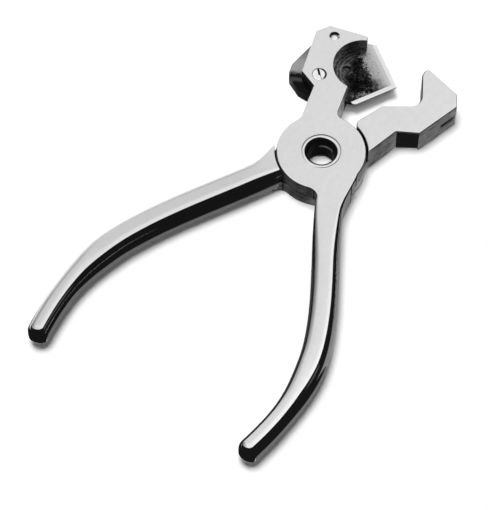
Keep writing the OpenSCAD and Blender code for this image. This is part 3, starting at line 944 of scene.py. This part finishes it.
screw = new_object("slotted_screw", turned(
    [(0, 1 - FACE), (SCREW_R, 1 - FACE), (SCREW_R, land - SCREW_HEAD_R + SCREW_R),
     (SCREW_HEAD_R, land), (SCREW_HEAD_R - 0.15, FACE - 0.12), (SCREW_HEAD_R - 0.4, FACE - 0.04),
     (SCREW_HEAD_R - 0.6, FACE), (0, FACE)], SCREW_AT))
slot_cutter = block((-2 * SCREW_HEAD_R, -SCREW_SLOT_W / 2, FACE - SCREW_SLOT_DEPTH),
                    (2 * SCREW_HEAD_R, SCREW_SLOT_W / 2, FACE + PAST))
bmesh.ops.rotate(slot_cutter, verts=slot_cutter.verts,
                 matrix=Matrix.Rotation(math.radians(SCREW_SLOT_TURN), 3, "Z"))
bmesh.ops.translate(slot_cutter, verts=slot_cutter.verts, vec=(*SCREW_AT, 0))
cut(screw, slot_cutter)
# The slot's walls and the shank below the head are painted near black as shade.
give_materials(screw, [screw_steel, painted_shade_black],
               lambda face: abs(face.normal.z) < 0.1 or face.center.z < FACE - 0.8)
put_in_place(screw, BLADE_PLACE)
hand_in(screw, "blade_side", "clamp_screw")

pin_top = FACE - PIN_RECESS
pin = new_object("domed_pin", turned(
    [(0, 1 - FACE), (PIN_R, 1 - FACE), (PIN_R, pin_top - 0.45), (PIN_R - 0.16, pin_top - 0.2),
     (PIN_R - 0.5, pin_top - 0.04), (0, pin_top)], PIN_AT))
give_materials(pin, [pin_steel])
put_in_place(pin, BLADE_PLACE)
hand_in(pin, "blade_side", "locating_pin")


# Stage, laid out from the camera's side: +Y away from it, +X to its right

AZIMUTH = math.radians(34)
ELEVATION = math.radians(59.6)
DISTANCE = 0.838
AIM = Vector((-0.0007, -0.0481, 0))
VIEW_TURN = Matrix.Rotation(AZIMUTH, 4, "Z")
DOME_R = 0.8
BLACK = 0.012
CARD_LIFT = 0.05
STRIP_LIFT = 0.1
HUG = 0.4
FAR = 900
CARD_GAP = 2.8
JAW_GAP = 0.5
WALL_GAP = 7
WALL_HEIGHT = 9
KEY_STRENGTH = 3.05
KEY_SPREAD = 26
KEY_TURN = 60
KEY_HEIGHT = 82
SPOT_SPREAD = 2.2
SPOT_HEIGHT = 66
SPOT_SIDE = -0.05
SPOT_DISTANCE = 0.75
SPOT_AIM = (-0.0005, 0.034)
FILL = 0.15
BLADE, ANVIL = (1, -1), (-1, 1)


def glow_material(name, strength=BLACK):
    """A surface that only shines, used on what stands round the object."""
    material = bpy.data.materials.new(name)
    material.use_nodes = True
    tree = material.node_tree
    tree.nodes.remove(tree.nodes["Principled BSDF"])
    glow = tree.nodes.new("ShaderNodeEmission")
    glow.inputs["Strength"].default_value = strength
    tree.links.new(glow.outputs[0], tree.nodes["Material Output"].inputs["Surface"])
    return material, tree, glow


def reflected_only(obj):
    """Something that is seen only in polished metal, and not by the camera, by diffuse light or in
    shadows.
    """
    obj.visible_camera = False
    obj.visible_diffuse = False
    obj.visible_shadow = False
    obj.visible_transmission = False


def studio_floor():
    bm = bmesh.new()
    bmesh.ops.create_circle(bm, cap_ends=True, segments=64, radius=4)
    bmesh.ops.translate(bm, verts=bm.verts, vec=(0, 0, -FACE * MM))
    floor = new_object("floor", bm)
    material = new_material("pale_floor", (0.9, 0.9, 0.9), 0.0, 1.0)
    tree = material.node_tree
    shader = tree.nodes["Principled BSDF"]
    shader.inputs["Specular IOR Level"].default_value = 0
    rays = node(tree, "LightPath")
    seen = math_node(tree, "MAXIMUM", rays["Is Camera Ray"], rays["Is Glossy Ray"])
    shader.inputs["Emission Color"].default_value = (1, 1, 1, 1)
    tree.links.new(math_node(tree, "MULTIPLY", seen, 0.03), shader.inputs["Emission Strength"])
    floor.data.materials.append(material)


def light_tent():
    """A tent that shines wherever it isn't black on the camera's side."""
    bm = bmesh.new()
    bmesh.ops.create_uvsphere(bm, u_segments=96, v_segments=64, radius=DOME_R)
    tent = new_object("tent", bm)
    material, tree, glow = glow_material("tent_cloth")
    place = node(tree, "TexCoord")["Object"]
    x, y, _ = apart(tree, node(tree, "VectorMath", place, operation="NORMALIZE")["Vector"])
    parts = (ramp(tree, x, -0.95, -0.45, 0.2, 0.95), ramp(tree, x, -0.1, 0.6, 0, 0.2),
             ramp(tree, y, 0.5, 0.2, 0, 0.2), ramp(tree, y, 0.85, 1, 0, -0.25))
    level = parts[0]
    for part in parts[1:]:
        level = math_node(tree, "ADD", level, part)
    opening = toward(tree, place, (-0.25, 0.5185, 0.8178))
    level = math_node(tree, "MULTIPLY", level, ramp(tree, opening, 0.543, 0.557, 0, 1))
    lamp = ramp(tree, toward(tree, place, (0.81, -0.1, 0.577)), 0.985, 0.995, BLACK, 0.09)
    level = math_node(tree, "ADD", level, lamp)
    tree.links.new(level, glow.inputs["Strength"])
    tent.data.materials.append(material)
    tent.rotation_euler = (0, 0, AZIMUTH)
    reflected_only(tent)


def tool_point(half, x, y):
    """A point of a half's upright drawing in its place in the open tool."""
    side, mirror = half
    return Matrix.Rotation(math.radians(side * HALF_ANGLE), 2) @ Vector((mirror * x, y))


def beside_handle(half, handle, gap, start, end, steps=24):
    """Points along a handle's flank, a gap away, on its inner side where the gap is positive."""
    points = []
    for i in range(steps + 1):
        d = mix(start, end, i / steps)
        along = Vector((bow(handle, d + 0.01) - bow(handle, d - 0.01), -0.02)).normalized()
        across = Vector((-along.y, along.x))
        reach = section(handle, d)[0] * (1 if gap > 0 else -1) + gap
        points.append(tool_point(half, *(Vector((bow(handle, d), -d)) + across * reach)))
    return points


def round_tip(half, handle, gap, steps=10):
    """Points round a handle's end, from its outer side to its inner side."""
    end = handle[3]
    along = Vector((bow(handle, end) - bow(handle, end - 0.01), -0.01)).normalized()
    across = Vector((-along.y, along.x))
    reach = section(handle, end)[0] + gap
    angles = [math.radians(-90 + 180 * i / steps) for i in range(1, steps)]
    return [tool_point(half, *(Vector((bow(handle, end), -end))
                               + (along * math.cos(a) + across * math.sin(a)) * reach))
            for a in angles]


def from_camera(x, y):
    return (VIEW_TURN @ Vector((x, y, 0))).xy


def floor_card(name, points, lift=CARD_LIFT, strength=BLACK):
    bm = bmesh.new()
    bm.faces.new([bm.verts.new((p[0] * MM, p[1] * MM, (lift - FACE) * MM)) for p in points])
    card = new_object(name, bm)
    card.data.materials.append(glow_material(name, strength)[0])
    reflected_only(card)


def beside_jaw(gap):
    """Points in front of the anvil half's jaw and neck, from the tip down."""
    corners = [(12.8, 51), (13.9, 32.5), (9, 27.3), (9, 17), (17, 8)]
    return [tool_point(ANVIL, x + gap, y - gap / 2) for x, y in corners]


def floor_cards():
    """Painted reflections: dark cards on the floor beyond the tool, and grey glowing strips close
    to it, which only the metal shows.
    """
    rim = arc((0, 0), DISC_R + HUG, 256, 284, 10)
    left_end, right_end = ANVIL_HANDLE[3], BLADE_HANDLE[3]
    floor_card("card_front", (
        [from_camera(-FAR, -60)]
        + beside_handle(ANVIL, ANVIL_HANDLE, -HUG, 108, left_end)
        + round_tip(ANVIL, ANVIL_HANDLE, HUG)
        + beside_handle(ANVIL, ANVIL_HANDLE, CARD_GAP, left_end, 13) + rim
        + beside_handle(BLADE, BLADE_HANDLE, HUG, 20, right_end)
        + round_tip(BLADE, BLADE_HANDLE, HUG)[::-1]
        + beside_handle(BLADE, BLADE_HANDLE, -CARD_GAP, right_end, 22)
        + beside_jaw(JAW_GAP)[::-1]
        + [from_camera(FAR, 200), from_camera(FAR, -FAR), from_camera(-FAR, -FAR)]))
    near = beside_handle(ANVIL, ANVIL_HANDLE, HUG, left_end, 13)
    far = beside_handle(ANVIL, ANVIL_HANDLE, CARD_GAP, left_end, 13)
    floor_card("strip_anvil_handle", near + far[::-1], STRIP_LIFT, 0.2)
    near = beside_handle(BLADE, BLADE_HANDLE, HUG, 34, right_end)
    far = beside_handle(BLADE, BLADE_HANDLE, 25, 34, right_end)
    floor_card("strip_left", near + far[::-1], STRIP_LIFT, 0.06)
    near = beside_handle(BLADE, BLADE_HANDLE, -HUG, 6, 78)
    far = beside_handle(BLADE, BLADE_HANDLE, -60, 6, 78)
    floor_card("strip_right", near + far[::-1], STRIP_LIFT, 0.3)
    near = beside_handle(BLADE, BLADE_HANDLE, -HUG, 78, right_end)
    far = beside_handle(BLADE, BLADE_HANDLE, -CARD_GAP, 78, right_end)
    floor_card("strip_low", near + far[::-1], STRIP_LIFT, 0.2)
    wall_card("wall_left", beside_handle(ANVIL, ANVIL_HANDLE, WALL_GAP, 18, 112), WALL_HEIGHT)


def wall_card(name, points, height):
    """A black card that stands upright on the floor along a path, a painted dark reflection which
    only the metal shows.
    """
    bm = bmesh.new()
    low = [bm.verts.new((p[0] * MM, p[1] * MM, -FACE * MM)) for p in points]
    high = [bm.verts.new((p[0] * MM, p[1] * MM, (height - FACE) * MM)) for p in points]
    for i in range(len(points) - 1):
        bm.faces.new((low[i], low[i + 1], high[i + 1], high[i]))
    card = new_object(name, bm)
    card.data.materials.append(glow_material(name)[0])
    reflected_only(card)


def key_light():
    """One big soft light overhead, a little to the far left."""
    lamp = bpy.data.lights.new("key", "SUN")
    lamp.energy = KEY_STRENGTH
    lamp.angle = math.radians(KEY_SPREAD)
    key = bpy.data.objects.new("key", lamp)
    turn, height = math.radians(KEY_TURN), math.radians(KEY_HEIGHT)
    source = VIEW_TURN @ Vector((-math.sin(turn) * math.cos(height),
                                 math.cos(turn) * math.cos(height), math.sin(height)))
    key.location = source
    key.rotation_euler = source.to_track_quat("Z", "Y").to_euler()
    key.visible_glossy = False
    bpy.context.scene.collection.objects.link(key)


def blade_light():
    """A narrow lamp a little above the camera's line, which opens the shadow under the blade."""
    lamp = bpy.data.lights.new("under_blade", "SPOT")
    lamp.energy = 50
    lamp.spot_size = math.radians(SPOT_SPREAD)
    lamp.spot_blend = 0.7
    lamp.shadow_soft_size = 0.05
    spot = bpy.data.objects.new("under_blade", lamp)
    height = math.radians(SPOT_HEIGHT)
    source = VIEW_TURN @ Vector((SPOT_SIDE, -math.cos(height), math.sin(height)))
    spot.location = Vector((*SPOT_AIM, -FACE * MM)) + source * SPOT_DISTANCE
    spot.rotation_euler = source.to_track_quat("Z", "Y").to_euler()
    spot.visible_glossy = False
    bpy.context.scene.collection.objects.link(spot)


def studio_world():
    world = bpy.data.worlds.new("studio")
    world.use_nodes = True
    bpy.context.scene.world = world
    tree = world.node_tree
    background = tree.nodes["Background"]
    background.inputs["Color"].default_value = (1, 1, 1, 1)
    rays = node(tree, "LightPath")
    seen = math_node(tree, "MAXIMUM", rays["Is Camera Ray"], rays["Is Glossy Ray"])
    seen = math_node(tree, "MAXIMUM", seen, rays["Is Transmission Ray"])
    tree.links.new(blend(tree, seen, FILL, 1.0), background.inputs["Strength"])


studio_floor()
light_tent()
floor_cards()
key_light()
blade_light()
studio_world()

# Camera at the photograph's viewing angle
camera_data = bpy.data.cameras.new("camera")
camera_data.sensor_fit = "VERTICAL"
camera_data.sensor_height = 36
camera_data.lens = 169.4
camera = bpy.data.objects.new("camera", camera_data)
back = Vector((math.sin(AZIMUTH) * math.cos(ELEVATION),
               -math.cos(AZIMUTH) * math.cos(ELEVATION), math.sin(ELEVATION)))
camera.location = AIM + back * DISTANCE
camera.rotation_euler = back.to_track_quat("Z", "Y").to_euler()
bpy.context.scene.collection.objects.link(camera)
bpy.context.scene.camera = camera
bpy.context.scene.view_settings.view_transform = "Standard"
